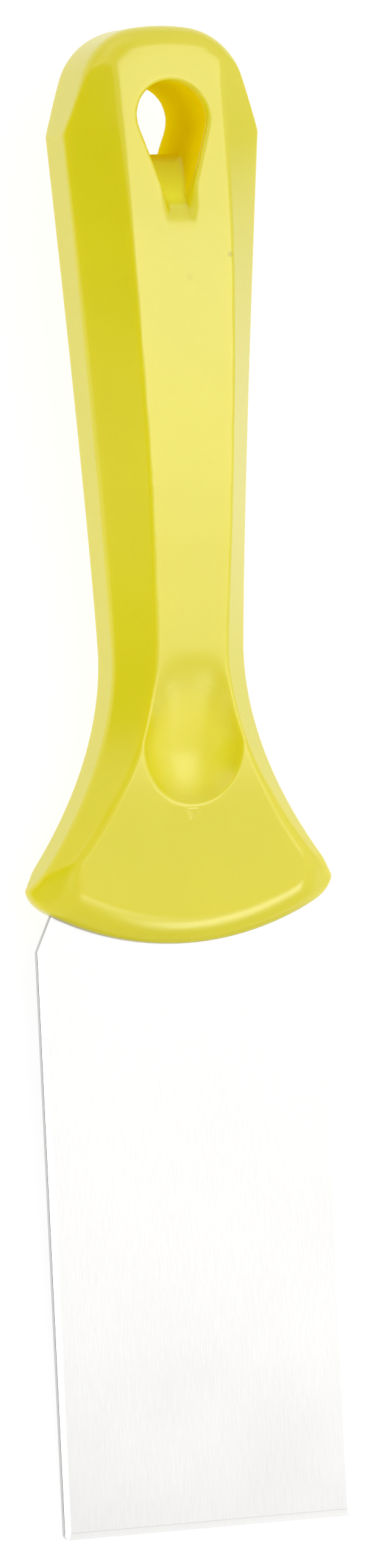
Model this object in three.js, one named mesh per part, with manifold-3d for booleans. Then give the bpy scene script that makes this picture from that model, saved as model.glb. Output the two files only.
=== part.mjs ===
// Hand scraper: a flat steel blade with a hidden tang, held in a solid faceted plastic handle.
// Millimetres. X runs across the blade, Y toward the hanging hole, Z up through the front face.
// The scraper lies on its back, on the swell of the grip and on the tip of the blade.
import * as THREE from 'three';
import { mergeVertices } from 'three/addons/utils/BufferGeometryUtils.js';
import Module from 'manifold-3d';

// Blade
const bladeWidth = 50;
const bladeReach = 94.8;
const bladeThickness = 1.2;
const tipCornerRadius = 1;
const tipBevelLength = 0.8;
const tipBevelDepth = 0.5;
const shoulderHeight = 11;
const shoulderInset = 5.2;

// Tang inside the handle, with the holes that the plastic flows through
const tangLength = 78;
const tangWidth = 15;
const tangNeckHeight = 24;
const tangHoleDiameter = 6;
const tangHoleCount = 3;
const tangFit = 0.3;

// Handle
const handleLength = 148.1;
const headWidth = 33.5;
const waistWidth = 22.7;
const flareWidth = 52.9;
const gripThickness = 26;
const handleLean = 1.8;

// Along the handle: the foot of the flank from the top of the head, the rest from the lip
const flankEnd = 17.2;
const waistRise = 47;
const cornerStartRise = 12;
const cornerApexRise = 9.7;
const cornerEndRise = 7.05;

// Side walls: the height of the flat wall between the front and back chamfers
const crownWallHeight = 4.4;
const headWallHeight = 8.8;
const waistWallHeight = 7.2;
const cornerWallHeight = 6.6;
const lipWallHeight = 2.7;

// Head
const headCrownRadius = 33;
const headCornerRadius = 11.2;
const headFlankAngle = 71.3;
const headChamferWidth = 7.95;
const faceTop = 4.45;
const faceCornerRadius = 3;

// Flare and lip, the rises from the lip
const lipRadius = 47.5;
const lipEdgeRise = 2.55;
const lipEdgeHalfWidth = 20.4;
const lipEdgeCornerRise = 9.65;
const lipEdgeStartRise = 14;
const lipEdgeHeight = 4.75;
const flareFaceRise = 23.1;
const flareFaceHeight = 8.1;

// Hanging hole, from the top of the head
const holeWidth = 11.8;
const holeTop = 9.1;
const holeThrough = 20.5;
const holeFootEnd = 30.3;
const holeFootWidth = 3.6;

// Thumb recess, the same on the front and the back, the rises from the lip
const recessStartRise = 48.5;
const recessWidestRise = 32.6;
const recessDeepestRise = 29.7;
const recessEndRise = 22.8;
const recessHalfWidth = 8.55;
const recessDepth = 3.9;

// Shapes of the long curves: powers, and shares chosen by hand
const gripTaperPower = 1.22;
const flareSpreadPower = 1.93;
const crownRoundShare = 0.55;
const lipRoundShare = 0.3;
const recessEdgeShare = 0.97;
const recessTurnShare = 0.58;
const recessFootPower = 0.75;
const faceColumnShares = [1, 0.72, 0.38, 0];
const chamferColumnShares = [0, 0.33, 0.67, 1];
// Each pair is a share of the way to the flare's flat face and a share of half the grip's thickness
const halfThicknessShares = [
  [0.034, 0.67], [0.083, 0.715], [0.141, 0.8], [0.202, 0.88], [0.266, 0.945], [0.331, 0.98],
  [0.45, 1], [0.562, 0.982], [0.645, 0.93], [0.702, 0.876], [0.767, 0.813], [0.815, 0.765],
  [0.863, 0.722], [0.888, 0.715], [0.927, 0.703], [0.964, 0.671],
  [1, flareFaceHeight / (gripThickness / 2)],
];
// Each pair is a share of the way to the start of the lip's edge and a share of the head's chamfer
const chamferWidthShares = [
  [0.131, 1], [0.189, 0.93], [0.248, 0.87], [0.309, 0.825], [0.419, 0.765], [0.541, 0.725],
  [0.655, 0.685], [0.759, 0.67], [0.805, 0.615], [0.861, 0.587], [0.891, 0.56], [0.921, 0.5],
  [0.949, 0.468], [0.979, 0.42], [1, 0.385],
];

// Steps along the surface
const crownSteps = 4;
const headCornerSteps = 8;
const flankSteps = 3;
const gripSteps = 16;
const flareSteps = 12;
const recessTurnSteps = 7;
const cornerSteps = 2;
const lipSteps = 9;
const arcSteps = 24;
const cutOverrun = 2;

const degrees = Math.PI / 180;
const mix = THREE.MathUtils.lerp;

// Places along the handle, all measured from the top of the head
const waistStart = handleLength - waistRise;
const cornerStart = handleLength - cornerStartRise;
const cornerApex = handleLength - cornerApexRise;
const cornerEnd = handleLength - cornerEndRise;
const lipEdgeCorner = handleLength - lipEdgeCornerRise;
const lipEdgeStart = handleLength - lipEdgeStartRise;
const flareFaceStart = handleLength - flareFaceRise;
const recessStart = handleLength - recessStartRise;
const recessWidest = handleLength - recessWidestRise;
const recessDeepest = handleLength - recessDeepestRise;
const recessEnd = handleLength - recessEndRise;

// A smooth curve through pairs of shares, level or straight where the pairs are
function curveThrough(pairs, at) {
  const last = pairs.length - 1;
  if (at <= pairs[0][0]) return pairs[0][1];
  if (at >= pairs[last][0]) return pairs[last][1];
  const slope = (k) => (pairs[k + 1][1] - pairs[k][1]) / (pairs[k + 1][0] - pairs[k][0]);
  const tangent = (k) => {
    if (k === 0) return slope(0);
    if (k === last) return slope(last - 1);
    const before = slope(k - 1);
    const after = slope(k);
    return before * after <= 0 ? 0 : (2 * before * after) / (before + after);
  };
  const k = pairs.findIndex((pair, index) => index < last && at < pairs[index + 1][0]);
  const span = pairs[k + 1][0] - pairs[k][0];
  const u = (at - pairs[k][0]) / span;
  return (
    (2 * u ** 3 - 3 * u ** 2 + 1) * pairs[k][1] +
    (u ** 3 - 2 * u ** 2 + u) * span * tangent(k) +
    (3 * u ** 2 - 2 * u ** 3) * pairs[k + 1][1] +
    (u ** 3 - u ** 2) * span * tangent(k + 1)
  );
}

// Half the handle's width, at a distance from the top of the head
function halfWidth(along) {
  if (along < waistStart) {
    const u = (along - flankEnd) / (waistStart - flankEnd);
    return mix(waistWidth, headWidth, (1 - u) ** gripTaperPower) / 2;
  }
  const u = (along - waistStart) / (cornerApex - waistStart);
  return mix(waistWidth, flareWidth, u ** flareSpreadPower) / 2;
}

// Half the height of the flat side wall
function wallHalfHeight(along) {
  if (along < waistStart) {
    const u = Math.max((along - flankEnd) / (waistStart - flankEnd), 0);
    return mix(headWallHeight, waistWallHeight, u) / 2;
  }
  const u = (along - waistStart) / (cornerStart - waistStart);
  return mix(waistWallHeight, cornerWallHeight, u) / 2;
}

// Height of the front face above the middle plane of the handle
function faceHeight(along) {
  if (along < flareFaceStart) {
    return (gripThickness / 2) * curveThrough(halfThicknessShares, along / flareFaceStart);
  }
  const drop = (along - flareFaceStart) / (handleLength - lipEdgeRise - flareFaceStart);
  return mix(flareFaceHeight, lipEdgeHeight, drop);
}

// Half the width of the front face, between its chamfers
function faceHalfWidth(along) {
  return halfWidth(along) - headChamferWidth * curveThrough(chamferWidthShares, along / lipEdgeStart);
}

// Half the width of the thumb recess at its rim
function recessHalf(along) {
  if (along < recessWidest) return Math.min(recessEdgeShare * faceHalfWidth(along), recessHalfWidth);
  const u = Math.min((along - recessWidest) / (recessEnd - recessWidest), 1);
  return recessHalfWidth * Math.sqrt(1 - u * u);
}

// Where the round foot of the recess's rim lies, at a distance across from the middle
function recessFoot(across) {
  return recessWidest + (recessEnd - recessWidest) * Math.sqrt(1 - (across / recessHalfWidth) ** 2);
}

// How deep the middle of the thumb recess lies below the front face
function recessFloor(along) {
  if (along < recessDeepest) {
    const u = (along - recessStart) / (recessDeepest - recessStart);
    return recessDepth * u * u * (3 - 2 * u);
  }
  const u = (along - recessDeepest) / (recessEnd - recessDeepest);
  return recessDepth * (1 - u * u) ** recessFootPower;
}

// How deep the thumb recess is at a place on the face
function recessDepthAt(across, along) {
  if (along <= recessStart || along >= recessEnd) return 0;
  const toRim = across / recessHalf(along);
  return recessFloor(along) * Math.max(1 - toRim * toRim, 0);
}

// The outline of the head: a crown, a corner round and a straight flank, as [across, along] points
function headOutline() {
  const flank = headFlankAngle * degrees;
  const inward = new THREE.Vector2(-Math.sin(flank), Math.cos(flank));
  const flankFoot = new THREE.Vector2(headWidth / 2, flankEnd);
  const reach = headCrownRadius - headCornerRadius;
  // The corner round touches the flank on the inside and the crown from within
  const onFlank = flankFoot.clone().addScaledVector(inward, headCornerRadius);
  const up = new THREE.Vector2(-Math.cos(flank), -Math.sin(flank));
  const toCentre = onFlank.clone().sub(new THREE.Vector2(0, headCrownRadius));
  const b = toCentre.dot(up);
  const travel = -b - Math.sqrt(b * b - toCentre.lengthSq() + reach * reach);
  const nearTravel = -b + Math.sqrt(b * b - toCentre.lengthSq() + reach * reach);
  const centre = onFlank.clone().addScaledVector(up, travel > 0 ? travel : nearTravel);
  const crownEnd = Math.atan2(centre.x, headCrownRadius - centre.y);
  const points = [];
  for (let k = 0; k < crownSteps; k += 1) {
    const angle = (crownEnd * k) / crownSteps;
    points.push([headCrownRadius * Math.sin(angle), headCrownRadius * (1 - Math.cos(angle))]);
  }
  for (let k = 0; k < headCornerSteps; k += 1) {
    const angle = mix(crownEnd, flank, k / headCornerSteps);
    points.push([
      centre.x + headCornerRadius * Math.sin(angle),
      centre.y - headCornerRadius * Math.cos(angle),
    ]);
  }
  const start = centre.clone().addScaledVector(inward, -headCornerRadius);
  for (let k = 0; k < flankSteps; k += 1) {
    const point = start.clone().lerp(flankFoot, k / flankSteps);
    points.push([point.x, point.y]);
  }
  return points;
}

// The top of the front face, matched point by point with the outline of the head
function headFace() {
  const side = headWidth / 2 - headChamferWidth;
  const cornerX = side - faceCornerRadius;
  const cornerY = faceTop + faceCornerRadius;
  const points = [];
  for (let k = 0; k < crownSteps; k += 1) points.push([(cornerX * k) / crownSteps, faceTop]);
  for (let k = 0; k < headCornerSteps; k += 1) {
    const angle = (Math.PI / 2) * (k / headCornerSteps);
    points.push([cornerX + faceCornerRadius * Math.sin(angle), cornerY - faceCornerRadius * Math.cos(angle)]);
  }
  for (let k = 0; k < flankSteps; k += 1) points.push([side, mix(cornerY, flankEnd, k / flankSteps)]);
  return points;
}

// Places on an arc that bows toward the lip, from its end at the corner to the middle of the lip
function arcAlong(across, middle, radius) {
  return middle - radius + Math.sqrt(radius * radius - across * across);
}

// Rows of the handle from head to lip. Each row pairs a point on the edge of the side wall
// with a point on the edge of the front face, and places the columns of the face by their shares.
function handleRows() {
  const rows = [];
  const addRow = (edge, face, round, column) => {
    const level = (share) => [recessEdgeShare * face[0] * share, face[1]];
    rows.push({ edge, face: [...face, faceHeight(face[1])], round, column: column ?? level });
  };
  const outline = headOutline();
  const face = headFace();
  outline.forEach(([x, along], k) => {
    const round = k < crownSteps ? 1 : Math.max(1 - (k - crownSteps) / headCornerSteps, 0);
    addRow([x, along, mix(headWallHeight, crownWallHeight, round) / 2], face[k], crownRoundShare * round);
  });
  const addStraight = (along, column) => {
    addRow([halfWidth(along), along, wallHalfHeight(along)], [faceHalfWidth(along), along], 0, column);
  };
  for (let k = 0; k < gripSteps; k += 1) addStraight(mix(flankEnd, recessStart, k / gripSteps));
  for (let k = 0; k < flareSteps; k += 1) {
    const along = mix(recessStart, recessWidest, k / flareSteps);
    addStraight(along, (share) => [recessHalf(along) * share, along]);
  }
  // Round the foot of the recess, the rows bend until the last one follows the rim
  const turnEnd = (Math.PI / 2) * recessTurnShare;
  for (let k = 0; k <= recessTurnSteps; k += 1) {
    const share = k / recessTurnSteps;
    const rim = recessHalfWidth * Math.cos(turnEnd * share);
    const along = recessFoot(rim);
    addStraight(along, (part) => [rim * part, mix(along, recessFoot(rim * part), share * share)]);
  }
  const lastRim = recessHalfWidth * Math.cos(turnEnd);
  const turned = recessFoot(lastRim);
  for (let k = 1; k <= lipSteps; k += 1) {
    const share = k / lipSteps;
    const faceAlong = mix(turned, lipEdgeStart, share);
    const edgeAlong = mix(turned, cornerStart, share);
    const reach = mix(lastRim, recessEdgeShare * faceHalfWidth(lipEdgeStart), share);
    addRow(
      [halfWidth(edgeAlong), edgeAlong, wallHalfHeight(edgeAlong)],
      [faceHalfWidth(faceAlong), faceAlong],
      0,
      (part) => [reach * part, mix(recessFoot(lastRim * part), lipEdgeStart, share)],
    );
  }
  const lipHalf = lipWallHeight / 2;
  const cornerEndX = Math.sqrt(lipRadius ** 2 - (cornerEnd - handleLength + lipRadius) ** 2);
  const startX = faceHalfWidth(lipEdgeStart);
  const cornerFace = (share) => [
    mix(startX, lipEdgeHalfWidth, share),
    mix(lipEdgeStart, lipEdgeCorner, share),
  ];
  for (let k = 1; k <= cornerSteps; k += 1) {
    const share = k / cornerSteps;
    const across = mix(halfWidth(cornerStart), flareWidth / 2, share);
    const edge = [across, mix(cornerStart, cornerApex, share), mix(cornerWallHeight / 2, lipHalf, share)];
    addRow(edge, cornerFace(share / 2), 0);
  }
  for (let k = 1; k <= cornerSteps; k += 1) {
    const share = k / cornerSteps;
    const edge = [mix(flareWidth / 2, cornerEndX, share), mix(cornerApex, cornerEnd, share), lipHalf];
    addRow(edge, cornerFace((1 + share) / 2), 0);
  }
  const edgeMiddle = handleLength - lipEdgeRise;
  const sagitta = edgeMiddle - lipEdgeCorner;
  const edgeRadius = (lipEdgeHalfWidth ** 2 + sagitta ** 2) / (2 * sagitta);
  for (let k = 1; k <= lipSteps; k += 1) {
    const left = 1 - k / lipSteps;
    const faceX = lipEdgeHalfWidth * left;
    const edge = [cornerEndX * left, arcAlong(cornerEndX * left, handleLength, lipRadius), lipHalf];
    const round = lipRoundShare * Math.min(k / cornerSteps, 1);
    addRow(edge, [faceX, arcAlong(faceX, edgeMiddle, edgeRadius)], round);
  }
  return rows;
}

// The points of one row on the right of the front, from the side wall to the middle of the face
function quarterRow(row) {
  const edge = new THREE.Vector3(...row.edge);
  const face = new THREE.Vector3(...row.face);
  const square = new THREE.Vector3(edge.x, edge.y, face.z);
  const control = edge.clone().add(face).multiplyScalar(1 / 2).lerp(square, row.round);
  const chamfer = new THREE.QuadraticBezierCurve3(edge, control, face);
  const points = chamferColumnShares.map((share) => chamfer.getPoint(share));
  faceColumnShares.forEach((share) => {
    const [across, along] = row.column(share);
    points.push(new THREE.Vector3(across, along, faceHeight(along) - recessDepthAt(across, along)));
  });
  return points;
}

// One closed ring of points round the handle for each row, then triangles between the rings
function handleShell() {
  const rings = handleRows().map((row) => {
    const right = quarterRow(row);
    const middle = right.pop();
    const left = right.map((p) => new THREE.Vector3(-p.x, p.y, p.z)).reverse();
    const front = [...right, middle, ...left];
    const back = front.map((p) => new THREE.Vector3(p.x, p.y, -p.z)).reverse();
    return [...front, ...back];
  });
  const positions = [];
  rings.forEach((ring) => ring.forEach((p) => positions.push(p.x, handleLength - p.y, p.z)));
  const size = rings[0].length;
  const index = [];
  for (let row = 0; row + 1 < rings.length; row += 1) {
    for (let k = 0; k < size; k += 1) {
      const next = (k + 1) % size;
      const [a, b] = [row * size + k, row * size + next];
      const [c, d] = [a + size, b + size];
      index.push(a, b, c, b, d, c);
    }
  }
  const shell = new THREE.BufferGeometry();
  shell.setAttribute('position', new THREE.Float32BufferAttribute(positions, 3));
  shell.setIndex(index);
  return shell;
}

const wasm = await Module();
wasm.setup();

// A closed solid from a geometry, with doubled points joined and empty triangles left out
function solidFrom(geometry) {
  const bare = geometry.clone();
  bare.deleteAttribute('normal');
  bare.deleteAttribute('uv');
  const merged = mergeVertices(bare);
  const corners = merged.index.array;
  const triangles = [];
  for (let k = 0; k < corners.length; k += 3) {
    const [a, b, c] = [corners[k], corners[k + 1], corners[k + 2]];
    if (a !== b && b !== c && a !== c) triangles.push(a, b, c);
  }
  return new wasm.Manifold(
    new wasm.Mesh({
      numProp: 3,
      vertProperties: new Float32Array(merged.attributes.position.array),
      triVerts: new Uint32Array(triangles),
    }),
  );
}

function geometryFrom(solid) {
  const mesh = solid.getMesh();
  const geometry = new THREE.BufferGeometry();
  geometry.setAttribute('position', new THREE.BufferAttribute(new Float32Array(mesh.vertProperties), 3));
  geometry.setIndex(new THREE.BufferAttribute(new Uint32Array(mesh.triVerts), 1));
  geometry.computeVertexNormals();
  return geometry;
}

// A plate of a plan shape, centred on z = 0
function plate(shape, thickness) {
  const geometry = new THREE.ExtrudeGeometry(shape, {
    depth: thickness,
    bevelEnabled: false,
    curveSegments: arcSteps,
  });
  return geometry.translate(0, 0, -thickness / 2);
}

// A bar along X whose section is a closed shape in the YZ plane
function barAlongX(points, width) {
  const section = new THREE.Shape(points.map(([y, z]) => new THREE.Vector2(y, z)));
  const geometry = new THREE.ExtrudeGeometry(section, { depth: width, bevelEnabled: false });
  const turn = new THREE.Matrix4().makeBasis(
    new THREE.Vector3(0, 1, 0),
    new THREE.Vector3(0, 0, 1),
    new THREE.Vector3(1, 0, 0),
  );
  return geometry.applyMatrix4(turn).translate(-width / 2, 0, 0);
}

// The outline of the blade and its tang, grown on every side by a margin
function bladeShape(margin, toTip) {
  const side = bladeWidth / 2 + margin;
  const foot = -toTip;
  const tang = tangWidth / 2 + margin;
  const top = tangLength + margin;
  const shoulder = side - shoulderInset;
  const shape = new THREE.Shape();
  const corner = Math.max(tipCornerRadius, margin);
  shape.moveTo(-side + corner, foot);
  shape.lineTo(side - corner, foot);
  shape.absarc(side - corner, foot + corner, corner, -Math.PI / 2, 0, false);
  shape.lineTo(side, 0);
  shape.lineTo(shoulder, shoulderHeight + margin);
  shape.lineTo(tang, tangNeckHeight + margin);
  shape.lineTo(tang, top - tang);
  shape.absarc(0, top - tang, tang, 0, Math.PI, false);
  shape.lineTo(-tang, tangNeckHeight + margin);
  shape.lineTo(-shoulder, shoulderHeight + margin);
  shape.lineTo(-side, 0);
  shape.lineTo(-side, foot + corner);
  shape.absarc(-side + corner, foot + corner, corner, Math.PI, Math.PI * 1.5, false);
  return shape;
}

// Places of the tang's holes, spread evenly along the tang
function tangHolePlaces() {
  const places = [];
  const room = tangLength - tangWidth / 2 - tangNeckHeight;
  for (let k = 0; k < tangHoleCount; k += 1) {
    places.push(tangNeckHeight + (room * (k + 1 / 2)) / tangHoleCount);
  }
  return places;
}

function bladeSolid() {
  const shape = bladeShape(0, bladeReach);
  tangHolePlaces().forEach((y) => {
    const hole = new THREE.Path();
    hole.absarc(0, y, tangHoleDiameter / 2, 0, Math.PI * 2, true);
    shape.holes.push(hole);
  });
  const top = bladeThickness / 2;
  const slope = tipBevelDepth / tipBevelLength;
  const bevel = barAlongX(
    [
      [-bladeReach + tipBevelLength, top],
      [-bladeReach - cutOverrun, top + cutOverrun],
      [-bladeReach - cutOverrun, top - tipBevelDepth - cutOverrun * slope],
    ],
    bladeWidth + cutOverrun * 2,
  );
  return solidFrom(plate(shape, bladeThickness)).subtract(solidFrom(bevel));
}

// The room for the tang inside the handle, bridged by plastic posts through the tang's holes
function tangRoom() {
  const height = bladeThickness + tangFit * 2;
  const room = solidFrom(plate(bladeShape(tangFit, cutOverrun), height));
  const posts = tangHolePlaces().map((y) => {
    const post = new THREE.CylinderGeometry(
      tangHoleDiameter / 2 - tangFit,
      tangHoleDiameter / 2 - tangFit,
      height + cutOverrun,
      arcSteps,
    );
    return solidFrom(post.rotateX(Math.PI / 2).translate(0, y, 0));
  });
  return posts.reduce((left, post) => left.subtract(post), room);
}

// The hanging hole: a teardrop that runs right through, with a ramp up to each face at its foot
function hangingHole() {
  const radius = holeWidth / 2;
  const centre = handleLength - holeTop - radius;
  const foot = handleLength - holeFootEnd;
  const footHalf = holeFootWidth / 2;
  const tall = gripThickness + cutOverrun * 2;
  // The straight sides touch the round head of the teardrop
  const drop = centre - foot;
  const reach = Math.hypot(drop, footHalf);
  const side = Math.atan2(footHalf, drop) + Math.acos(radius / reach) - Math.PI / 2;
  const shape = new THREE.Shape();
  shape.moveTo(-footHalf, foot - cutOverrun);
  shape.lineTo(footHalf, foot - cutOverrun);
  shape.lineTo(footHalf, foot);
  shape.absarc(0, centre, radius, side, Math.PI - side, false);
  shape.lineTo(-footHalf, foot);
  const nose = handleLength - holeThrough;
  const faceZ = faceHeight(holeFootEnd);
  const slope = (nose - foot) / faceZ;
  const end = nose - tall * slope;
  const ramp = barAlongX([[nose, 0], [end, tall], [end, -tall]], holeWidth + cutOverrun * 2);
  return solidFrom(plate(shape, tall)).subtract(solidFrom(ramp));
}

function handleSolid() {
  const lean = new THREE.Matrix4().makeRotationX(handleLean * degrees);
  const solidAt = (solid) => solidFrom(geometryFrom(solid).applyMatrix4(lean));
  const body = solidFrom(handleShell()).subtract(hangingHole());
  return solidAt(body).subtract(tangRoom());
}

const handleColour = new THREE.MeshStandardMaterial({ color: '#dfd31c', roughness: 0.4, metalness: 0 });
handleColour.name = 'moulded_plastic';
const bladeColour = new THREE.MeshStandardMaterial({ color: '#d9d9d6', roughness: 0.28, metalness: 1 });
bladeColour.name = 'stainless_steel';

const handle = new THREE.Mesh(geometryFrom(handleSolid()), handleColour);
handle.name = 'handle';
const blade = new THREE.Mesh(geometryFrom(bladeSolid()), bladeColour);
blade.name = 'blade';

// Resting angle: from the lower edge of the blade's tip to the lowest swell on the back of the grip
function restAngle() {
  const points = handle.geometry.attributes.position;
  const tip = -bladeReach;
  const under = -bladeThickness / 2;
  let steepest = 0;
  for (let k = 0; k < points.count; k += 1) {
    const angle = Math.atan2(under - points.getZ(k), points.getY(k) - tip);
    steepest = Math.max(steepest, angle);
  }
  return steepest;
}

const scraper = new THREE.Group();
scraper.add(handle, blade);
scraper.rotation.x = restAngle();

// The origin is under the middle of the scraper, on the surface that it lies on
const hand_scraper = new THREE.Group();
hand_scraper.add(scraper);
hand_scraper.updateMatrixWorld(true);
const reach = new THREE.Box3().setFromObject(scraper, true);
const middle = reach.getCenter(new THREE.Vector3());
scraper.position.set(-middle.x, -middle.y, -reach.min.z);

export default hand_scraper;
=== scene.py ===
"""Hand scraper: the dressed model, its floor, its lights and its camera.

Lengths in this script are millimetres in the handle's own frame unless a name says otherwise:
X runs across, "along" runs from the top of the head to the lip, Z rises from the middle plane.
"""
import math

import bpy
import numpy as np
from mathutils import Matrix, Vector


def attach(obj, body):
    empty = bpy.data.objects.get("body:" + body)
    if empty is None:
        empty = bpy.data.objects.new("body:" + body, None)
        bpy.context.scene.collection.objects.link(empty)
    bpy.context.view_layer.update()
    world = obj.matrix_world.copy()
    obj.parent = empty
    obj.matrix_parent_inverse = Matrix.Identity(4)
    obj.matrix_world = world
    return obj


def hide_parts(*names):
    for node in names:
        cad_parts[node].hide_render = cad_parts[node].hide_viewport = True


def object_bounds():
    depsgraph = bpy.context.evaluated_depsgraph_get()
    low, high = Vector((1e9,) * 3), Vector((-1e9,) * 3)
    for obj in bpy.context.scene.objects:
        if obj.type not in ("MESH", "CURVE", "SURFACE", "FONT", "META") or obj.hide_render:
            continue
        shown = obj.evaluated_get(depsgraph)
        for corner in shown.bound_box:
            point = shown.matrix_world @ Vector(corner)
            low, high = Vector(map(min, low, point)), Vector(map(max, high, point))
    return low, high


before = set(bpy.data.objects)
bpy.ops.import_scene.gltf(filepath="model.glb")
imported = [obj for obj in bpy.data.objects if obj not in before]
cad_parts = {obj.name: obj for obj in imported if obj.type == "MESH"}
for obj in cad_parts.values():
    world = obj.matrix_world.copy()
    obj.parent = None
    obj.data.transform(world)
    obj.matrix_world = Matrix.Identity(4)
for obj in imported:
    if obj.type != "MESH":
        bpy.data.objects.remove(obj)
cad_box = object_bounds()

MM = 0.001
NO_CUT = -50.0  # the field of a surface that doesn't cut there

# The scraper's pose in the row frame
REST_TILT = 0.0593270
REST_Y = -26.5254
REST_Z = 6.2198
HANDLE_LEAN = math.radians(1.8)

# Handle
LENGTH = 148.1
HEAD_WIDTH = 33.5
WAIST_WIDTH = 22.7
FLARE_WIDTH = 52.9
GRIP_THICKNESS = 26.0
FLANK_END = 17.2
WAIST = LENGTH - 47.0
CORNER_START = LENGTH - 12.0
CORNER_APEX = LENGTH - 9.7
CORNER_END = LENGTH - 7.05
WALL_CROWN = 3.6
WALL_HEAD = 4.4
WALL_WAIST = 3.6
WALL_CORNER = 3.3
WALL_LIP = 1.35
CROWN_RADIUS = 33.0
HEAD_CORNER_RADIUS = 11.2
FLANK_ANGLE = math.radians(71.3)
HEAD_CHAMFER = 7.95
FACE_TOP = 4.45
CROWN_REACH = 7.0
CROWN_OVERRUN = 0.35
CROWN_POWER = 2.3
CROWN_FADE = 3.0
CROWN_DROP = 2.5
CHAMFER_SCALE = 0.8
LIP_RADIUS = 47.5
CORNER_END_HALF = math.sqrt(LIP_RADIUS**2 - (CORNER_END - LENGTH + LIP_RADIUS) ** 2)
LIP_EDGE_MIDDLE = LENGTH - 2.55
LIP_EDGE_HALF = 20.4
LIP_EDGE_CORNER = LENGTH - 9.65
LIP_EDGE_START = LENGTH - 14.0
LIP_EDGE_HEIGHT = 4.75
LIP_ROLL_START = LENGTH - 5.1
LIP_ROLL_SAG = 0.0135
LIP_ROLL_POWER = 1.75
FACET_INNER = 12.0
FLARE_FACE = LENGTH - 23.1
FLARE_FACE_HEIGHT = 8.1
GRIP_POWER = 1.22
FLARE_POWER = 1.93

# Hanging hole
HOLE_RADIUS = 5.9
HOLE_TOP = 9.1
HOLE_THROUGH = 20.5
HOLE_FOOT = 30.3
HOLE_FOOT_HALF = 1.25
HOLE_SURROUND = 8.0

# Thumb recess
RECESS_START = LENGTH - 48.5
RECESS_WIDEST = LENGTH - 32.6
RECESS_DEEPEST = LENGTH - 29.7
RECESS_END = LENGTH - 22.8
RECESS_HALF = 8.55
RECESS_DEPTH = 3.9
RECESS_POWER = 2.3
RECESS_SHARE_OF_FACE = 0.97

# Faint V below the thumb recess
MARK_GAP = 0.3
MARK_LENGTH = 2.3
MARK_HALF = 2.0
MARK_DEPTH = 0.10

# Widths over which the creases are rounded
ROUND_SIDE = 0.5
ROUND_SIDE_AT_CROWN = 1.7
ROUND_BEVEL = 0.25
ROUND_FACE = 0.5
ROUND_FACE_AT_FLARE = 1.6
ROUND_RECESS = 0.3
ROUND_FACET = 1.0
ROUND_LIP = 0.6
ROUND_LIP_CORNER = 0.8
ROUND_HOLE = 0.8
ROUND_HOLE_AT_FOOT = 2.2
ROUND_VALLEY = 1.8
ROUND_VALLEY_AT_FOOT = 0.25

# Grid on which the handle's field is sampled
GRID_STEP = 0.4
GRID_HALF_WIDTH = 27.5
GRID_HALF_HEIGHT = 14.5

# Share of the way to the flare's face, and the share of the grip's thickness there
THICKNESS_SHARES = [
    (0.034, 0.67), (0.083, 0.715), (0.141, 0.8), (0.202, 0.88), (0.266, 0.945), (0.331, 0.98),
    (0.45, 1.0), (0.562, 0.982), (0.645, 0.93), (0.702, 0.876), (0.767, 0.813), (0.815, 0.765),
    (0.863, 0.722), (0.888, 0.715), (0.927, 0.703), (0.964, 0.671),
    (1.0, FLARE_FACE_HEIGHT / (GRIP_THICKNESS / 2)),
]
# Share of the way to the lip's edge, and the share of the head's chamfer there
CHAMFER_SHARES = [
    (0.131, 1.0), (0.189, 0.93), (0.248, 0.87), (0.309, 0.825), (0.419, 0.765), (0.541, 0.725),
    (0.655, 0.685), (0.759, 0.67), (0.805, 0.615), (0.861, 0.587), (0.891, 0.56), (0.921, 0.5),
    (0.949, 0.468), (0.979, 0.42), (1.0, 0.385),
]

# Specks in the front face: across, along, size and strength
SPECKS = [(8.0, 37.2, 0.6, 0.4), (0.8, 40.6, 0.8, 0.12)]

# Blade, in its own frame: X across, Y from the lip toward the tang, Z out of the front
BLADE_HALF = 25.0
BLADE_REACH = 94.8
BLADE_TOP = 0.6
BLADE_EDGE = 0.08
TIP_CORNER = 1.0
SHOULDER_STEP = 5.2
SHOULDER_RISE = 11.0
TANG_HALF = 7.5
TANG_START = 24.0
TANG_END = 70.5

# Rings of the blade's mesh from back to front: how far in, height, and how much painted sheen
# lightens the steel, most on the side edge, less on the ground margins
BLADE_RINGS = [
    (BLADE_EDGE, -BLADE_TOP, 0.0),
    (0.0, -BLADE_TOP + BLADE_EDGE, 0.5),
    (0.0, BLADE_TOP - 0.10, 0.5),
    (0.05, BLADE_TOP - 0.045, 0.3),
    (0.95, BLADE_TOP - 0.01, 0.3),
    (1.15, BLADE_TOP, 0.0),
]

# Colours, linear
PLASTIC_LOW = (0.69, 0.62, 0.002)
PLASTIC_HIGH = (0.735, 0.66, 0.004)
# Painted light: the thumb recess's bowl is painted lighter than the body
RECESS_PAINTED_LIGHT = (0.79, 0.71, 0.004)
# Painted light: the hole's ramps are painted paler, for light bounced into the hole
RAMP_PAINTED_LIGHT = (0.93, 0.93, 0.07)
# Painted shade: the hole's wall is painted deep orange, for the warm shade and bounced light inside
# the hole
HOLE_PAINTED_SHADE = (0.88, 0.70, 0.0)
PLASTIC_SPECK = (0.33, 0.25, 0.0)
STEEL_LOW = (0.338, 0.335, 0.330)
STEEL_HIGH = (0.364, 0.361, 0.356)
# Steel of the ground margins, lighter in part as ground steel and in part by painted sheen; on the
# side edges it is painted sheen only
STEEL_GROUND_AND_SHEEN = (0.80, 0.795, 0.785)


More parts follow.
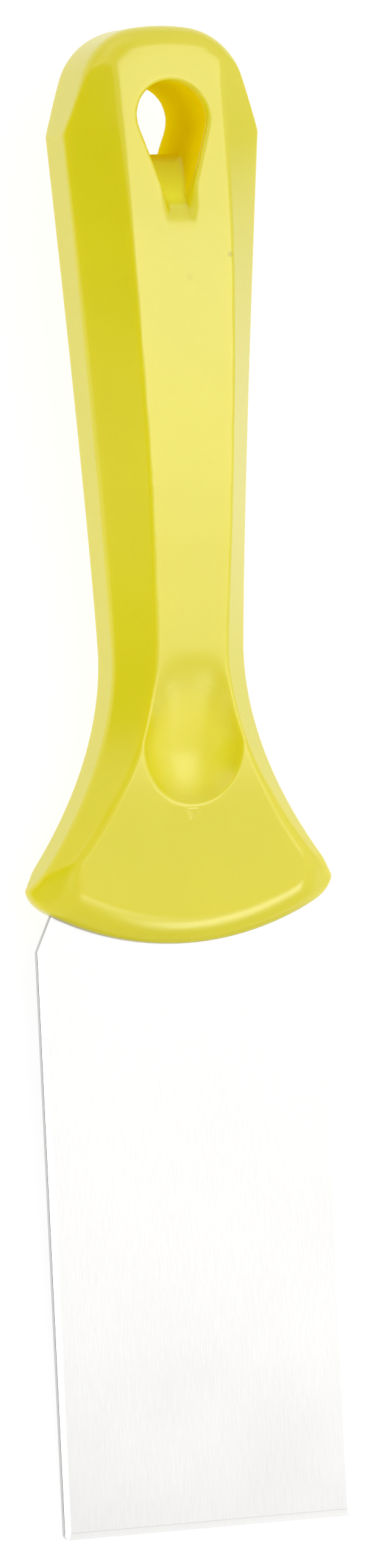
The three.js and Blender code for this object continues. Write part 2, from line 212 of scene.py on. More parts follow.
def curve_table(pairs, samples=4000):
    """A monotone cubic through the pairs, sampled finely and lightly smoothed, as a function."""
    xs = np.array([p[0] for p in pairs])
    ys = np.array([p[1] for p in pairs])
    slopes = np.diff(ys) / np.diff(xs)
    tangents = np.zeros(len(xs))
    tangents[0], tangents[-1] = slopes[0], slopes[-1]
    for k in range(1, len(xs) - 1):
        a, b = slopes[k - 1], slopes[k]
        tangents[k] = 0.0 if a * b <= 0 else 2 * a * b / (a + b)
    at = np.linspace(xs[0], xs[-1], samples)
    k = np.clip(np.searchsorted(xs, at, side="right") - 1, 0, len(xs) - 2)
    span = xs[k + 1] - xs[k]
    u = (at - xs[k]) / span
    values = (
        (2 * u**3 - 3 * u**2 + 1) * ys[k]
        + (u**3 - 2 * u**2 + u) * span * tangents[k]
        + (3 * u**2 - 2 * u**3) * ys[k + 1]
        + (u**3 - u**2) * span * tangents[k + 1]
    )
    reach = samples // 40
    kernel = np.hanning(2 * reach + 1)
    kernel /= kernel.sum()
    padded = np.concatenate([
        2 * values[0] - values[reach:0:-1], values, 2 * values[-1] - values[-2:-reach - 2:-1],
    ])
    smooth = np.convolve(padded, kernel, mode="valid")
    return lambda q: np.interp(q, at, smooth)


thickness_share = curve_table(THICKNESS_SHARES)
chamfer_share = curve_table(CHAMFER_SHARES)


def mix(a, b, t):
    return a + (b - a) * t


def smooth_step(lo, hi, value):
    t = np.clip((value - lo) / (hi - lo), 0, 1)
    return t * t * (3 - 2 * t)


def smax(a, b, k):
    """The larger of two fields, with the crease between them rounded over a width k."""
    h = np.maximum(k - np.abs(a - b), 0) / k
    return np.maximum(a, b) + h * h * k / 4


def half_width(along):
    """Half the handle's width along the grip and the flare."""
    u = (along - FLANK_END) / (WAIST - FLANK_END)
    grip = mix(WAIST_WIDTH, HEAD_WIDTH, np.maximum(1 - u, 0) ** GRIP_POWER) / 2
    v = np.maximum((along - WAIST) / (CORNER_APEX - WAIST), 0)
    flare = mix(WAIST_WIDTH, FLARE_WIDTH, v**FLARE_POWER) / 2
    return np.where(along < WAIST, grip, flare)


def wall_half(along):
    """Half the height of the side wall between the front and back chamfers."""
    grip = mix(WALL_HEAD, WALL_WAIST, np.clip((along - FLANK_END) / (WAIST - FLANK_END), 0, 1))
    flare = mix(WALL_WAIST, WALL_CORNER, np.clip((along - WAIST) / (CORNER_START - WAIST), 0, 1))
    return np.where(along < WAIST, grip, flare)


def face_height(along):
    """Height of the front face above the middle plane."""
    curved = GRIP_THICKNESS / 2 * thickness_share(along / FLARE_FACE)
    drop = (along - FLARE_FACE) / (LIP_EDGE_MIDDLE - FLARE_FACE)
    return np.where(along < FLARE_FACE, curved, mix(FLARE_FACE_HEIGHT, LIP_EDGE_HEIGHT, drop))


def face_half(along):
    """Half the width of the front face, between its chamfers."""
    return half_width(along) - HEAD_CHAMFER * chamfer_share(along / LIP_EDGE_START)


def head_corner_centre():
    """Centre of the round that joins the crown and the flank."""
    inward = np.array([-math.sin(FLANK_ANGLE), math.cos(FLANK_ANGLE)])
    up = np.array([-math.cos(FLANK_ANGLE), -math.sin(FLANK_ANGLE)])
    start = np.array([HEAD_WIDTH / 2, FLANK_END]) + inward * HEAD_CORNER_RADIUS
    to = start - np.array([0, CROWN_RADIUS])
    b = to @ up
    root = math.sqrt(b * b - to @ to + (CROWN_RADIUS - HEAD_CORNER_RADIUS) ** 2)
    return start + up * (-b - root if -b - root > 0 else -b + root)


CORNER = head_corner_centre()
CROWN_END = math.atan2(CORNER[0], CROWN_RADIUS - CORNER[1])


def arc_along(across, middle, radius):
    """Where an arc is at a distance across, if it meets the axis at the middle value."""
    return middle - radius + np.sqrt(np.maximum(radius * radius - across * across, 0))


def plan_field(x, along):
    """Signed distance to the handle's outline seen from the front, and how near the crown is."""
    side = half_width(along)
    tiny = 0.05
    slope = (half_width(along + tiny) - half_width(along - tiny)) / (2 * tiny)
    field = (x - side) / np.sqrt(1 + slope * slope)
    out = np.array([math.sin(FLANK_ANGLE), -math.cos(FLANK_ANGLE)])
    flank = (x - HEAD_WIDTH / 2) * out[0] + (along - FLANK_END) * out[1]
    field = np.maximum(field, flank)
    angle = np.arctan2(x - CORNER[0], CORNER[1] - along)
    crown_angle = np.arctan2(x, CROWN_RADIUS - along)
    crown = np.hypot(x, along - CROWN_RADIUS) - CROWN_RADIUS
    corner = np.hypot(x - CORNER[0], along - CORNER[1]) - HEAD_CORNER_RADIUS
    in_crown = (crown_angle < CROWN_END) & (along < CROWN_RADIUS)
    in_corner = ~in_crown & (angle < FLANK_ANGLE) & (angle > CROWN_END)
    head = np.where(in_crown, crown, np.where(in_corner, corner, flank))
    field = np.where(along < FLANK_END + 2, np.maximum(head, field), field)
    near = np.where(in_crown, 1.0, (FLANK_ANGLE - angle) / (FLANK_ANGLE - CROWN_END))
    near = np.where(along < FLANK_END, np.clip(near, 0, 1), 0.0)
    return field, near


def lip_field(x, along):
    """The corner's end and the lip, seen from the front."""
    run = np.array([CORNER_END_HALF - FLARE_WIDTH / 2, CORNER_END - CORNER_APEX])
    run /= np.linalg.norm(run)
    cut = (x - FLARE_WIDTH / 2) * run[1] - (along - CORNER_APEX) * run[0]
    lip = np.hypot(x, along - LENGTH + LIP_RADIUS) - LIP_RADIUS
    return np.where(along > CORNER_START - 12, smax(cut, lip, ROUND_LIP_CORNER), NO_CUT)


def crown_field(x, along, z, plan, near):
    """The convex bevel swept round the head, from the side wall up to just past the front face."""
    foot = mix(WALL_HEAD, WALL_CROWN, near)
    rise = face_height(np.maximum(along, FACE_TOP)) + CROWN_OVERRUN - foot
    inward = np.clip(1 + plan / CROWN_REACH, 0, 2)
    upward = np.maximum(z - foot, 0) / rise
    curve = (inward**CROWN_POWER + upward**CROWN_POWER) ** (1 / CROWN_POWER)
    return (curve - 1) * rise


def chamfer_height(x, along):
    """Height of the straight chamfer, which runs on under the head's bevel."""
    at = np.maximum(along, FLANK_END)
    inner = face_half(at)
    u = (x - inner) / (half_width(at) - inner)
    return mix(face_height(along), wall_half(at), u)


def sink_mark(x, along):
    """Depth of the faint V that the moulding leaves under the recess's rim."""
    down = (along - RECESS_END - MARK_GAP) / MARK_LENGTH
    reach = MARK_HALF * np.clip(1 - down, 0.02, 1)
    depth = MARK_DEPTH * smooth_step(0, 1, 1.3 * (1 - x / reach)) * smooth_step(0, 0.15, down)
    return np.where((down > 0) & (down < 1), depth, 0.0)


def front_field(x, along, z):
    """The front face, and the convex roll that takes it down to the rim at the lip."""
    start = LIP_ROLL_START - LIP_ROLL_SAG * x * x
    outer = arc_along(x, LENGTH, LIP_RADIUS)
    run = np.clip((along - start) / (outer - start), 0, 2)
    top = face_height(along) - sink_mark(x, along)
    upward = np.maximum(z - WALL_LIP, 0) / (top - WALL_LIP)
    roll = (run**LIP_ROLL_POWER + upward**LIP_ROLL_POWER) ** (1 / LIP_ROLL_POWER)
    return np.where(along > FLARE_FACE, (roll - 1) * (top - WALL_LIP), z - top)


def corner_plane():
    """The flat facet that cuts the flare's corner, through its five corners."""
    start = float(face_half(np.array(LIP_EDGE_START)))
    points = np.array([
        [float(half_width(np.array(CORNER_START))), CORNER_START, WALL_CORNER],
        [start, LIP_EDGE_START, float(face_height(np.array(LIP_EDGE_START)))],
        [LIP_EDGE_HALF, LIP_EDGE_CORNER, float(face_height(np.array(LIP_EDGE_CORNER)))],
        [CORNER_END_HALF, CORNER_END, WALL_LIP],
        [FLARE_WIDTH / 2, CORNER_APEX, WALL_LIP],
    ])
    middle = points.mean(0)
    normal = np.linalg.svd(points - middle)[2][-1]
    normal *= np.sign(normal[2])
    return middle, normal


FACET_MIDDLE, FACET_NORMAL = corner_plane()


def recess_height(x, along):
    """Height of the thumb recess's bowl, which rises past the front face outside its rim."""
    face = face_height(along)
    rim = np.minimum(RECESS_SHARE_OF_FACE * face_half(along), RECESS_HALF)
    rim = np.where(along < RECESS_WIDEST, rim, RECESS_HALF)
    down = np.maximum(along - RECESS_WIDEST, 0) / (RECESS_END - RECESS_WIDEST)
    q = np.hypot(x / np.maximum(rim, 1), down)
    depth = RECESS_DEPTH * smooth_step(RECESS_START, RECESS_DEEPEST, along)
    return face - depth * (1 - q**RECESS_POWER)


def hole_sides(x, along, z):
    """The hanging hole's sides, a teardrop from the front, and the ramp to each face at its foot.

    Both are negative on the side of the hole's room.
    """
    centre = HOLE_TOP + HOLE_RADIUS
    drop = HOLE_FOOT - centre
    reach = math.hypot(drop, HOLE_FOOT_HALF)
    side = math.atan2(HOLE_FOOT_HALF, drop) + math.acos(HOLE_RADIUS / reach) - math.pi / 2
    circle = np.hypot(x, along - centre) - HOLE_RADIUS
    line = x * math.cos(side) - (along - centre) * math.sin(side) - HOLE_RADIUS
    plan = np.where(np.arctan2(along - centre, x) > -side, line, circle)
    face = float(face_height(np.array(HOLE_FOOT)))
    slope = face / (HOLE_FOOT - HOLE_THROUGH)
    ramp = ((along - HOLE_THROUGH) * slope - z) / math.hypot(1, slope)
    return plan, ramp


def hole_field(x, along, z):
    """The hole's room, with a valley along each ramp that narrows to nothing at the foot."""
    toward_foot = smooth_step(HOLE_FOOT - 6, HOLE_FOOT - 0.5, along)
    return smax(*hole_sides(x, along, z), mix(ROUND_VALLEY, ROUND_VALLEY_AT_FOOT, toward_foot))


def handle_field(x, along, z):
    """Negative inside the handle. x and z are taken as distances from the middle planes."""
    x, z = np.abs(x), np.abs(z)
    plan, near = plan_field(x, along)
    chamfer = (z - chamfer_height(x, along)) * CHAMFER_SCALE
    field = smax(plan, chamfer, mix(ROUND_SIDE, ROUND_SIDE_AT_CROWN, near))
    past_head = smooth_step(FLANK_END - CROWN_FADE, FLANK_END + CROWN_FADE, along)
    crown = crown_field(x, along, z, plan, near) - CROWN_DROP * past_head
    field = smax(field, crown, ROUND_BEVEL)
    face = front_field(x, along, z)
    bowl = smax(face, z - recess_height(x, along), ROUND_RECESS)
    face = np.where(along > RECESS_START, bowl, face)
    toward_flare = smooth_step(WAIST + 10, CORNER_START, along)
    field = smax(field, face, mix(ROUND_FACE, ROUND_FACE_AT_FLARE, toward_flare))
    facet = (
        (x - FACET_MIDDLE[0]) * FACET_NORMAL[0]
        + (along - FACET_MIDDLE[1]) * FACET_NORMAL[1]
        + (z - FACET_MIDDLE[2]) * FACET_NORMAL[2]
    )
    facet = np.where(x > FACET_INNER, facet, NO_CUT)
    at_lip = along > FLARE_FACE
    field = np.where(at_lip, smax(field, facet, ROUND_FACET), field)
    field = np.where(at_lip, smax(field, lip_field(x, along), ROUND_LIP), field)
    toward_foot = smooth_step(HOLE_FOOT - 5, HOLE_FOOT, along)
    rim = mix(ROUND_HOLE, ROUND_HOLE_AT_FOOT, toward_foot)
    cut = smax(field, -hole_field(x, along, z), rim)
    return np.where(along < HOLE_FOOT + HOLE_SURROUND, cut, field)


def in_recess(x, along, z):
    """1 on the thumb recess's bowl and 0 elsewhere, softly at the rim: where the material paints
    light and dulls the gloss.
    """
    x, z = np.abs(x), np.abs(z)
    on_bowl = smooth_step(-0.3, -0.05, z - recess_height(x, along))
    sunk = smooth_step(0.1, 2.8, face_height(along) - z)
    return np.where((along > RECESS_START) & (along < RECESS_END + 1), on_bowl * sunk, 0.0)


def in_hole(x, along, z):
    """How deep a point lies in the hanging hole, from 0 to 1: on its wall, and on its ramps. The
    material paints shade on the wall and light on the ramps by these.
    """
    x, z = np.abs(x), np.abs(z)
    side, ramp = hole_sides(x, along, z)
    inside = 1 - smooth_step(0.1, 0.9, np.maximum(side, ramp))
    sunk = face_height(along) - z
    past_edge = smooth_step(HOLE_THROUGH - 0.2, HOLE_THROUGH + 1.8, along)
    off_ramp = np.maximum(smooth_step(-0.5, 0.1, side), 1 - past_edge)
    inside = np.where(along < HOLE_FOOT + 4, inside, 0.0)
    wall_end = 1.5 + 3.0 * smooth_step(HOLE_THROUGH, HOLE_FOOT, along)
    on_wall = smooth_step(0.1, wall_end, sunk) * off_ramp
    on_ramp = smooth_step(0.4, 3.5, sunk) * (1 - off_ramp)
    return inside * on_wall, inside * on_ramp


def surface_nets(values, origin, step):
    """Quads on the zero level of a field sampled on a grid."""
    inside = values < 0
    count = np.zeros(tuple(n - 1 for n in values.shape), np.int8)
    nx, ny, nz = count.shape
    for i in (0, 1):
        for j in (0, 1):
            for k in (0, 1):
                count += inside[i:i + nx, j:j + ny, k:k + nz]
    active = (count > 0) & (count < 8)
    cells = np.argwhere(active)
    number = np.full(active.shape, -1, np.int64)
    number[active] = np.arange(len(cells))
    corners = [(i, j, k) for i in (0, 1) for j in (0, 1) for k in (0, 1)]
    sums = np.zeros((len(cells), 3))
    hits = np.zeros(len(cells))
    for a in corners:
        for axis in range(3):
            if a[axis]:
                continue
            b = tuple(1 if n == axis else a[n] for n in range(3))
            va = values[cells[:, 0] + a[0], cells[:, 1] + a[1], cells[:, 2] + a[2]]
            vb = values[cells[:, 0] + b[0], cells[:, 1] + b[1], cells[:, 2] + b[2]]
            cross = (va < 0) != (vb < 0)
            t = np.where(cross, va / np.where(va == vb, 1, va - vb), 0)
            point = np.tile(np.array(a, float), (len(cells), 1))
            point[:, axis] = t
            sums[cross] += point[cross]
            hits[cross] += 1
    points = origin + (cells + sums / hits[:, None]) * step
    quads = []
    for axis in range(3):
        u, v = (axis + 1) % 3, (axis + 2) % 3
        lo = [slice(1, -1)] * 3
        lo[axis] = slice(0, -1)
        hi = list(lo)
        hi[axis] = slice(1, None)
        first, second = inside[tuple(lo)], inside[tuple(hi)]
        edges = np.argwhere(first != second)
        outward = first[tuple(edges.T)]
        base = edges.copy()
        base[:, u] += 1
        base[:, v] += 1
        ring = []
        for du, dv in ((-1, -1), (0, -1), (0, 0), (-1, 0)):
            cell = base.copy()
            cell[:, u] += du
            cell[:, v] += dv
            ring.append(number[tuple(cell.T)])
        ring = np.stack(ring, 1)
        ring[~outward] = ring[~outward, ::-1]
        quads.append(ring)
    return points, np.concatenate(quads)


def field_slope(points, tiny=0.01):
    """The field's gradient, by small steps along each axis."""
    return np.stack([
        handle_field(*(points + tiny * axis).T) - handle_field(*(points - tiny * axis).T)
        for axis in np.eye(3)
    ], 1) / (2 * tiny)


def handle_points():
    """The handle's surface as points and quads. Its field is mirrored from one quarter."""
    step = GRID_STEP
    xs = np.arange(0.5, GRID_HALF_WIDTH / step) * step
    alongs = np.arange(-2, (LENGTH + 1) / step) * step
    zs = np.arange(0.5, GRID_HALF_HEIGHT / step) * step
    grid = np.meshgrid(xs, alongs, zs, indexing="ij")
    quarter = handle_field(*grid)
    half = np.concatenate([quarter[::-1], quarter], 0)
    full = np.concatenate([half[:, :, ::-1], half], 2)
    origin = np.array([-xs[-1], alongs[0], -zs[-1]])
    points, quads = surface_nets(full, origin, step)
    for _ in range(3):  # Newton steps onto the field's zero level
        value = handle_field(*points.T)
        slope = field_slope(points)
        move = -(value / np.maximum((slope**2).sum(1), 0.05))[:, None] * slope
        length = np.linalg.norm(move, axis=1, keepdims=True)
        points = points + move * np.minimum(1, 0.5 * step / np.maximum(length, 1e-9))
    return points, quads


def tilt(points, angle):
    """Points turned about the X axis."""
    c, s = math.cos(angle), math.sin(angle)
    x, y, z = points.T
    return np.stack([x, y * c - z * s, y * s + z * c], 1)


def to_row(points):
    """Points of the blade's frame in mm, to the row frame in metres."""
    return (tilt(points, REST_TILT) + [0, REST_Y, REST_Z]) * MM


def handle_to_blade(points):
    """Points (across, along, height) of the handle, to the blade's frame."""
    x, along, z = points.T
    return tilt(np.stack([x, LENGTH - along, z], 1), HANDLE_LEAN)


def make_mesh(name, points, faces):
    """A smooth piece, its last tenths of a millimetre kept inside the CAD's box."""
    low, high = np.array(cad_box[0]), np.array(cad_box[1])
    mesh = bpy.data.meshes.new(name)
    mesh.from_pydata(np.clip(points, low, high).tolist(), [], [list(map(int, f)) for f in faces])
    mesh.validate()
    mesh.update()
    thing = bpy.data.objects.new(name, mesh)
    bpy.context.scene.collection.objects.link(thing)
    mesh.shade_smooth()
    return thing


def mark_points(thing, name, values):
    """A value at each point, which a material reads by its name."""
    attribute = thing.data.attributes.new(name, "FLOAT", "POINT")
    attribute.data.foreach_set("value", values.astype(np.float32))


def make_handle():
    """The moulded handle, with the field's own slope as its normals."""
    points, quads = handle_points()
    thing = make_mesh("grip_body", to_row(handle_to_blade(points)), quads[:, ::-1])
    normals = field_slope(points, 0.04) * [1, -1, 1]
    normals /= np.linalg.norm(normals, axis=1, keepdims=True)
    turned = tilt(normals, HANDLE_LEAN + REST_TILT)
    thing.data.normals_split_custom_set_from_vertices(turned.tolist())
    wall, ramp = in_hole(*points.T)
    mark_points(thing, "hole_wall", wall)
    mark_points(thing, "hole_ramp", ramp)
    mark_points(thing, "recess", in_recess(*points.T))
    return thing


def arc_points(middle_x, middle_y, radius, start, turn, steps):
    """Points on a circle, from the start angle through the turn."""
    angles = [start + turn * k / steps for k in range(steps + 1)]
    return [(middle_x + radius * math.cos(a), middle_y + radius * math.sin(a)) for a in angles]


def blade_outline():
    """The blade and its tang from the front, round from the tip's right corner to its left one."""
    side, tip = BLADE_HALF - TIP_CORNER, TIP_CORNER - BLADE_REACH
    quarter = math.pi / 2
    shoulder = (BLADE_HALF - SHOULDER_STEP, SHOULDER_RISE)
    right = [(BLADE_HALF, 0.0), shoulder, (TANG_HALF, TANG_START)]
    left = [(-x, y) for x, y in right[::-1]]
    return np.array([
        *arc_points(side, tip, TIP_CORNER, 3 * quarter, quarter, 8), *right,
        *arc_points(0.0, TANG_END, TANG_HALF, 0.0, math.pi, 12), *left,
        *arc_points(-side, tip, TIP_CORNER, math.pi, quarter, 8),
    ])


def make_blade():
    """The flat blade: ground margins round its front face, a bevelled tip and a tang."""
    outline = blade_outline()
    blade_part = outline[:, 1] <= SHOULDER_RISE
    rings = []
    for by, height, _ in BLADE_RINGS:
        ring = np.column_stack([outline, np.full(len(outline), height)])
        ring[blade_part, 0] = np.clip(outline[blade_part, 0], by - BLADE_HALF, BLADE_HALF - by)
        ring[:, 1] = np.maximum(outline[:, 1], by - BLADE_REACH)
        rings.append(ring)
    points = np.concatenate(rings)
    count = len(outline)
    faces = []
    for r in range(len(rings) - 1):
        for k in range(count):
            n = (k + 1) % count
            faces.append([r * count + k, r * count + n, (r + 1) * count + n, (r + 1) * count + k])
    faces.append(list(range(count))[::-1])
    faces.append([(len(rings) - 1) * count + k for k in range(count)])
    thing = make_mesh("blade_plate", to_row(points), faces)
    thing.data.set_sharp_from_angle(angle=math.radians(25))
    # painted sheen: the side edge and the ground margins get lighter steel
    shine = np.repeat([bright for _, _, bright in BLADE_RINGS], count)
    mark_points(thing, "ground_margin_and_sheen", np.where(points[:, 1] > 0, 0.0, shine))
    return thing


RANGE_SOCKETS = ("From Min", "From Max", "To Min", "To Max")


class Nodes:
    """A small helper that adds nodes to a material and links them."""

    def __init__(self, name):
        self.material = bpy.data.materials.new(name)
        self.material.use_nodes = True
        self.tree = self.material.node_tree
        self.tree.nodes.clear()
        self.out = self.add("ShaderNodeOutputMaterial")
        self.shader = self.add("ShaderNodeBsdfPrincipled")
        self.link(self.shader, "BSDF", self.out, "Surface")

    def add(self, kind, **sets):
        node = self.tree.nodes.new(kind)
        for key, value in sets.items():
            if hasattr(node, key):
                setattr(node, key, value)
            else:
                node.inputs[key.replace("_", " ")].default_value = value
        return node

    def link(self, a, a_name, b, b_name):
        outputs = [socket for socket in a.outputs if socket.enabled and socket.name == a_name]
        inputs = [socket for socket in b.inputs if socket.enabled and socket.name == b_name]
        self.tree.links.new(outputs[0], inputs[0] if inputs else b.inputs[b_name])

    def blend(self, first, second):
        """A colour mix. A colour that is None is linked later."""
        node = self.add("ShaderNodeMix", data_type="RGBA")
        for name, colour in (("A", first), ("B", second)):
            if colour is not None:
                socket = next(q for q in node.inputs if q.enabled and q.name == name)
                socket.default_value = (*colour, 1)
        return node

    def cover(self, below, colour, amount, amount_name="Fac"):
        """A colour laid over the one below, as far as the amount says."""
        node = self.blend(None, colour)
        self.link(below, "Result", node, "A")
        self.link(amount, amount_name, node, "Factor")
        return node

    def specks(self, place, below):
        """Small dark specks in the moulding, at fixed places on the front face."""
        for x, along, size, strength in SPECKS:
            point = np.array([[x, along, float(face_height(np.array(along)))]])
            reach = self.add("ShaderNodeVectorMath", operation="DISTANCE")
            reach.inputs[1].default_value = to_row(handle_to_blade(point))[0]
            self.link(place, "Object", reach, 0)
            fade = self.spread(reach, "Value", size * 0.4 * MM, size * MM, strength, 0.0)
            below = self.cover(below, PLASTIC_SPECK, fade, "Result")
        return below

    def noise(self, vector, scale, detail=2.0, rough=0.5, stretch=(1, 1, 1)):
        mapping = self.add("ShaderNodeMapping")
        mapping.inputs["Scale"].default_value = stretch
        self.link(vector, "Object", mapping, "Vector")
        node = self.add("ShaderNodeTexNoise", Scale=scale, Detail=detail, Roughness=rough)
        self.link(mapping, "Vector", node, "Vector")
        return node

    def spread(self, source, name, lo, hi, out_lo, out_hi):
        """A map from the range lo to hi onto the range out_lo to out_hi."""
        node = self.add("ShaderNodeMapRange")
        for key, value in zip(RANGE_SOCKETS, (lo, hi, out_lo, out_hi)):
            node.inputs[key].default_value = value
        self.link(source, name, node, "Value")
        return node


def plastic():
    """Glossy moulded plastic: uneven tone and orange peel, with painted light in the recess and on
    the hole's ramps, and painted warm shade on the hole's wall.
    """
    n = Nodes("moulded_plastic")
    place = n.add("ShaderNodeTexCoord")
    s = n.shader
    s.inputs["IOR"].default_value = 1.49
    s.inputs["Subsurface Weight"].default_value = 0.5
    s.inputs["Subsurface Radius"].default_value = (1.0, 0.5, 0.05)
    s.inputs["Subsurface Scale"].default_value = 0.003
    cloud = n.noise(place, 28.0, 3.0, 0.55)
    flow = n.noise(place, 60.0, 3.0, 0.6, (1.0, 0.18, 1.0))
    body = n.blend(PLASTIC_LOW, PLASTIC_HIGH)
    n.link(n.spread(cloud, "Fac", 0.3, 0.7, 0.0, 1.0), "Result", body, "Factor")
    wall = n.add("ShaderNodeAttribute", attribute_name="hole_wall")
    ramp = n.add("ShaderNodeAttribute", attribute_name="hole_ramp")
    bowl = n.add("ShaderNodeAttribute", attribute_name="recess")
    # painted light: the recess's bowl lighter
    colour = n.cover(body, RECESS_PAINTED_LIGHT, bowl)
    # painted light on the hole's ramps
    colour = n.cover(colour, RAMP_PAINTED_LIGHT, ramp)
    # painted shade: the hole's wall deep orange
    colour = n.cover(colour, HOLE_PAINTED_SHADE, wall)
    n.link(n.specks(place, colour), "Result", s, "Base Color")
    rough, out = n.spread(flow, "Fac", 0.15, 0.85, 0.21, 0.28), "Result"
    for part, more in ((wall, 0.35), (bowl, 0.12)):
        dull = n.add("ShaderNodeMath", operation="MULTIPLY_ADD", use_clamp=True)
        dull.inputs[1].default_value = more
        n.link(part, "Fac", dull, 0)
        n.link(rough, out, dull, 2)
        rough, out = dull, "Value"
    n.link(rough, out, s, "Roughness")
    s.inputs["Specular IOR Level"].default_value = 0.8
    n.link(n.spread(wall, "Fac", 0.0, 0.8, 0.8, 0.0), "Result", s, "Specular IOR Level")
    peel = n.noise(place, 900.0, 2.0, 0.5)
    fine = n.noise(place, 4200.0, 2.0, 0.6)
    total = n.add("ShaderNodeMath", operation="MULTIPLY_ADD")
    total.inputs[1].default_value = 0.35
    n.link(fine, "Fac", total, 0)
    n.link(peel, "Fac", total, 2)
    bump = n.add("ShaderNodeBump", Strength=0.12, Distance=0.00006)
    n.link(total, "Value", bump, "Height")
    n.link(bump, "Normal", s, "Normal")
    return n.material


def steel():
    """Satin steel with a grain along the blade, brighter ground margins, and painted sheen that
    lightens the side edges and the margins too.
    """
    n = Nodes("stainless_steel")
    place = n.add("ShaderNodeTexCoord")
    s = n.shader
    s.inputs["Metallic"].default_value = 1.0
    grain = n.noise(place, 420.0, 4.0, 0.65, (14.0, 0.35, 14.0))
    cloud = n.noise(place, 35.0, 3.0, 0.5)
    tone = n.blend(STEEL_LOW, STEEL_HIGH)
    n.link(n.spread(grain, "Fac", 0.25, 0.75, 0.0, 1.0), "Result", tone, "Factor")
    # painted sheen: lighter steel on the side edges and ground margins
    margin_and_sheen = n.add("ShaderNodeAttribute", attribute_name="ground_margin_and_sheen")
    n.link(n.cover(tone, STEEL_GROUND_AND_SHEEN, margin_and_sheen), "Result", s, "Base Color")
    n.link(n.spread(cloud, "Fac", 0.3, 0.7, 0.19, 0.24), "Result", s, "Roughness")
    bump = n.add("ShaderNodeBump", Strength=0.05, Distance=0.00002)
    n.link(grain, "Fac", bump, "Height")
    n.link(bump, "Normal", s, "Normal")
    return n.material


handle = make_handle()
handle.data.materials.append(plastic())
blade = make_blade()
blade.data.materials.append(steel())
for piece, slot, node in ((handle, "handle_plastic", "handle"), (blade, "blade_steel", "blade")):
    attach(piece, "root")
    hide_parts(node)


def make_floor():
    """A plain pale floor, in metres, that glows: painted light, strongest under the scraper, where
    it washes out the scraper's shadow.
    """
    half = 1.6
    corners = [(-half, -half, 0), (half, -half, 0), (half, half, 0), (-half, half, 0)]
    mesh = bpy.data.meshes.new("floor")
    mesh.from_pydata(corners, [], [(0, 1, 2, 3)])
    floor = bpy.data.objects.new("floor", mesh)
    bpy.context.scene.collection.objects.link(floor)
    n = Nodes("pale_floor")
    place = n.add("ShaderNodeTexCoord")
    cloud = n.noise(place, 6.0, 2.0, 0.5)
    n.link(n.spread(cloud, "Fac", 0.3, 0.7, 0.62, 0.66), "Result", n.shader, "Roughness")
    n.shader.inputs["Base Color"].default_value = (0.2, 0.2, 0.2, 1)
    n.shader.inputs["Specular IOR Level"].default_value = 0.2
    n.shader.inputs["Emission Color"].default_value = (1, 1, 1, 1)
    oval = n.add("ShaderNodeVectorMath", operation="MULTIPLY")
    oval.inputs[1].default_value = (3, 1, 1)
    n.link(place, "Object", oval, 0)
    far = n.add("ShaderNodeVectorMath", operation="LENGTH")
    n.link(oval, "Vector", far, 0)
    # painted light: the floor's glow, strongest under the scraper
    pool = n.spread(far, "Value", 0.24, 0.6, 0.85, 0.2)
    pool.interpolation_type = "SMOOTHSTEP"
    n.link(pool, "Result", n.shader, "Emission Strength")
    mesh.materials.append(n.material)


make_floor()

# Camera: angles of the view onto the blade's plane, in the blade's frame
VIEW_YAW = math.radians(20.548)
VIEW_PITCH = math.radians(0.925)
VIEW_ROLL = math.radians(-2.722)
VIEW_DISTANCE = 1236.6
VIEW_TARGET = np.array([3.652, 25.74, 0.0])
PIXELS_PER_MM = 10.136
PHOTO_HEIGHT = 2576
SENSOR_MM = 36.0


def blade_axes():
    """The view's right, up and backward axes, in the blade's frame."""
    level = math.cos(VIEW_PITCH)
    back = np.array([-math.sin(VIEW_YAW) * level, math.sin(VIEW_PITCH), math.cos(VIEW_YAW) * level])
    right = np.cross([0, 1, 0], back)
    right /= np.linalg.norm(right)
    up = np.cross(back, right)
    c, s = math.cos(VIEW_ROLL), math.sin(VIEW_ROLL)
    return np.array([right * c + up * s, up * c - right * s, back])


right, up, back = (Vector(axis) for axis in tilt(blade_axes(), REST_TILT))
target = Vector(to_row(VIEW_TARGET[None])[0])
camera_data = bpy.data.cameras.new("camera")
camera_data.sensor_width = SENSOR_MM
camera_data.lens = PIXELS_PER_MM * VIEW_DISTANCE * SENSOR_MM / PHOTO_HEIGHT
camera_data.clip_start = 0.05
camera_data.clip_end = 20
camera = bpy.data.objects.new("camera", camera_data)
bpy.context.scene.collection.objects.link(camera)
camera.matrix_world = Matrix((right, up, back)).transposed().to_4x4()
camera.location = target + back * VIEW_DISTANCE * MM
bpy.context.scene.camera = camera


def toward(turn, lift):
    """A direction from the scraper, by degrees to the right of the camera and above it."""
    a, b = math.radians(turn), math.radians(lift)
    return back * math.cos(a) * math.cos(b) + right * math.sin(a) * math.cos(b) + up * math.sin(b)


def area_light(name, turn, lift, distance, size, power, upright=False):
    """A soft light that faces the scraper. An upright one has its width across the view."""
    facing = toward(turn, lift)
    data = bpy.data.lights.new(name, "AREA")
    data.shape = "RECTANGLE"
    data.size, data.size_y = size
    data.energy = power
    light = bpy.data.objects.new(name, data)
    bpy.context.scene.collection.objects.link(light)
    light.location = target + facing * distance
    light.rotation_mode = "QUATERNION"
    light.rotation_quaternion = facing.to_track_quat("Z", "Y")
    if upright:
        across = up.cross(facing).normalized()
        axes = Matrix((across, facing.cross(across), facing)).transposed()
        light.rotation_quaternion = axes.to_quaternion()
    light.visible_camera = False
    return light


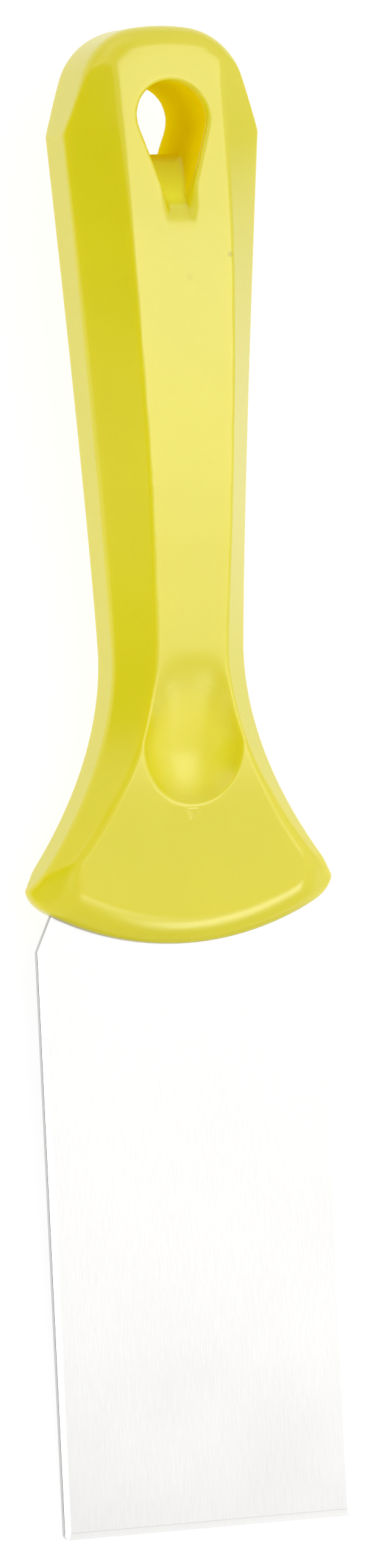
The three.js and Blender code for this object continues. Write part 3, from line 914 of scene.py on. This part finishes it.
# Four lights that only make highlights, and three fills that make none:
# name, degrees right of the camera and above it, distance and size in metres, watts
for glint in (
    area_light("key_softbox", 43, 11, 1.2, (0.97, 1.12), 6.3, upright=True),
    area_light("key_core", 43, 9, 1.1, (0.8, 0.24), 0.4, upright=True),
    area_light("low_strip", 66, -45, 0.9, (0.5, 0.17), 1.3),
    area_light("lip_strip", 32, -41, 0.9, (0.3, 0.16), 0.42),
):
    glint.visible_diffuse = False
for fill in (
    area_light("left_fill", -50, -8, 1.0, (0.5, 0.8), 1.72),
    area_light("front_fill", -20, -24, 1.2, (0.6, 0.8), 3.25),
    area_light("right_fill", 100, -6, 1.0, (0.25, 0.8), 1.4),
):
    fill.visible_glossy = False


def studio_world():
    """A bright room, dimmer to the right, with dark cards and a soft glow round the camera."""
    world = bpy.data.worlds.new("studio")
    bpy.context.scene.world = world
    world.use_nodes = True
    tree = world.node_tree
    direction = tree.nodes.new("ShaderNodeTexCoord")

    def level_along(axis, values):
        """Brightness by direction along an axis: from, to, and the brightness at each."""
        along = tree.nodes.new("ShaderNodeVectorMath")
        along.operation = "DOT_PRODUCT"
        along.inputs[1].default_value = axis
        level = tree.nodes.new("ShaderNodeMapRange")
        level.interpolation_type = "SMOOTHSTEP"
        for key, value in zip(RANGE_SOCKETS, values):
            level.inputs[key].default_value = value
        tree.links.new(direction.outputs["Generated"], along.inputs[0])
        tree.links.new(along.outputs["Value"], level.inputs["Value"])
        return level.outputs["Result"]

    def combine(operation, a, b):
        node = tree.nodes.new("ShaderNodeMath")
        node.operation = operation
        tree.links.new(a, node.inputs[0])
        tree.links.new(b, node.inputs[1])
        return node.outputs["Value"]

    def disc(turn, lift, inner, outer, centre, rim):
        """A round patch: its value inside one angle in degrees, and past the outer one."""
        edge = (math.cos(math.radians(outer)), math.cos(math.radians(inner)), rim, centre)
        return level_along(toward(turn, lift), edge)

    room = level_along(right, (-0.95, 0.3, 2.0, 0.57))
    overhead = level_along(up, (0.4, 0.9, 0.0, 0.45))
    glow = disc(66, 4, 25, 60, 0.57, 0.0)
    level = combine("ADD", combine("ADD", room, overhead), glow)
    for card in (
        disc(-50, -8, 24, 36, 0.03, 1.0),
        disc(-27, 1, 12, 24, 0.15, 1.0),
        disc(-2, 48, 8, 22, 0.65, 1.0),
        disc(-62, 42, 10, 28, 0.45, 1.0),
        disc(-40, -42, 12, 34, 0.6, 1.0),
    ):
        level = combine("MULTIPLY", level, card)
    background = tree.nodes["Background"]
    background.inputs["Color"].default_value = (1, 1, 1, 1)
    tree.links.new(level, background.inputs["Strength"])


studio_world()

bpy.context.scene.view_settings.view_transform = "Standard"

bpy.context.view_layer.update()
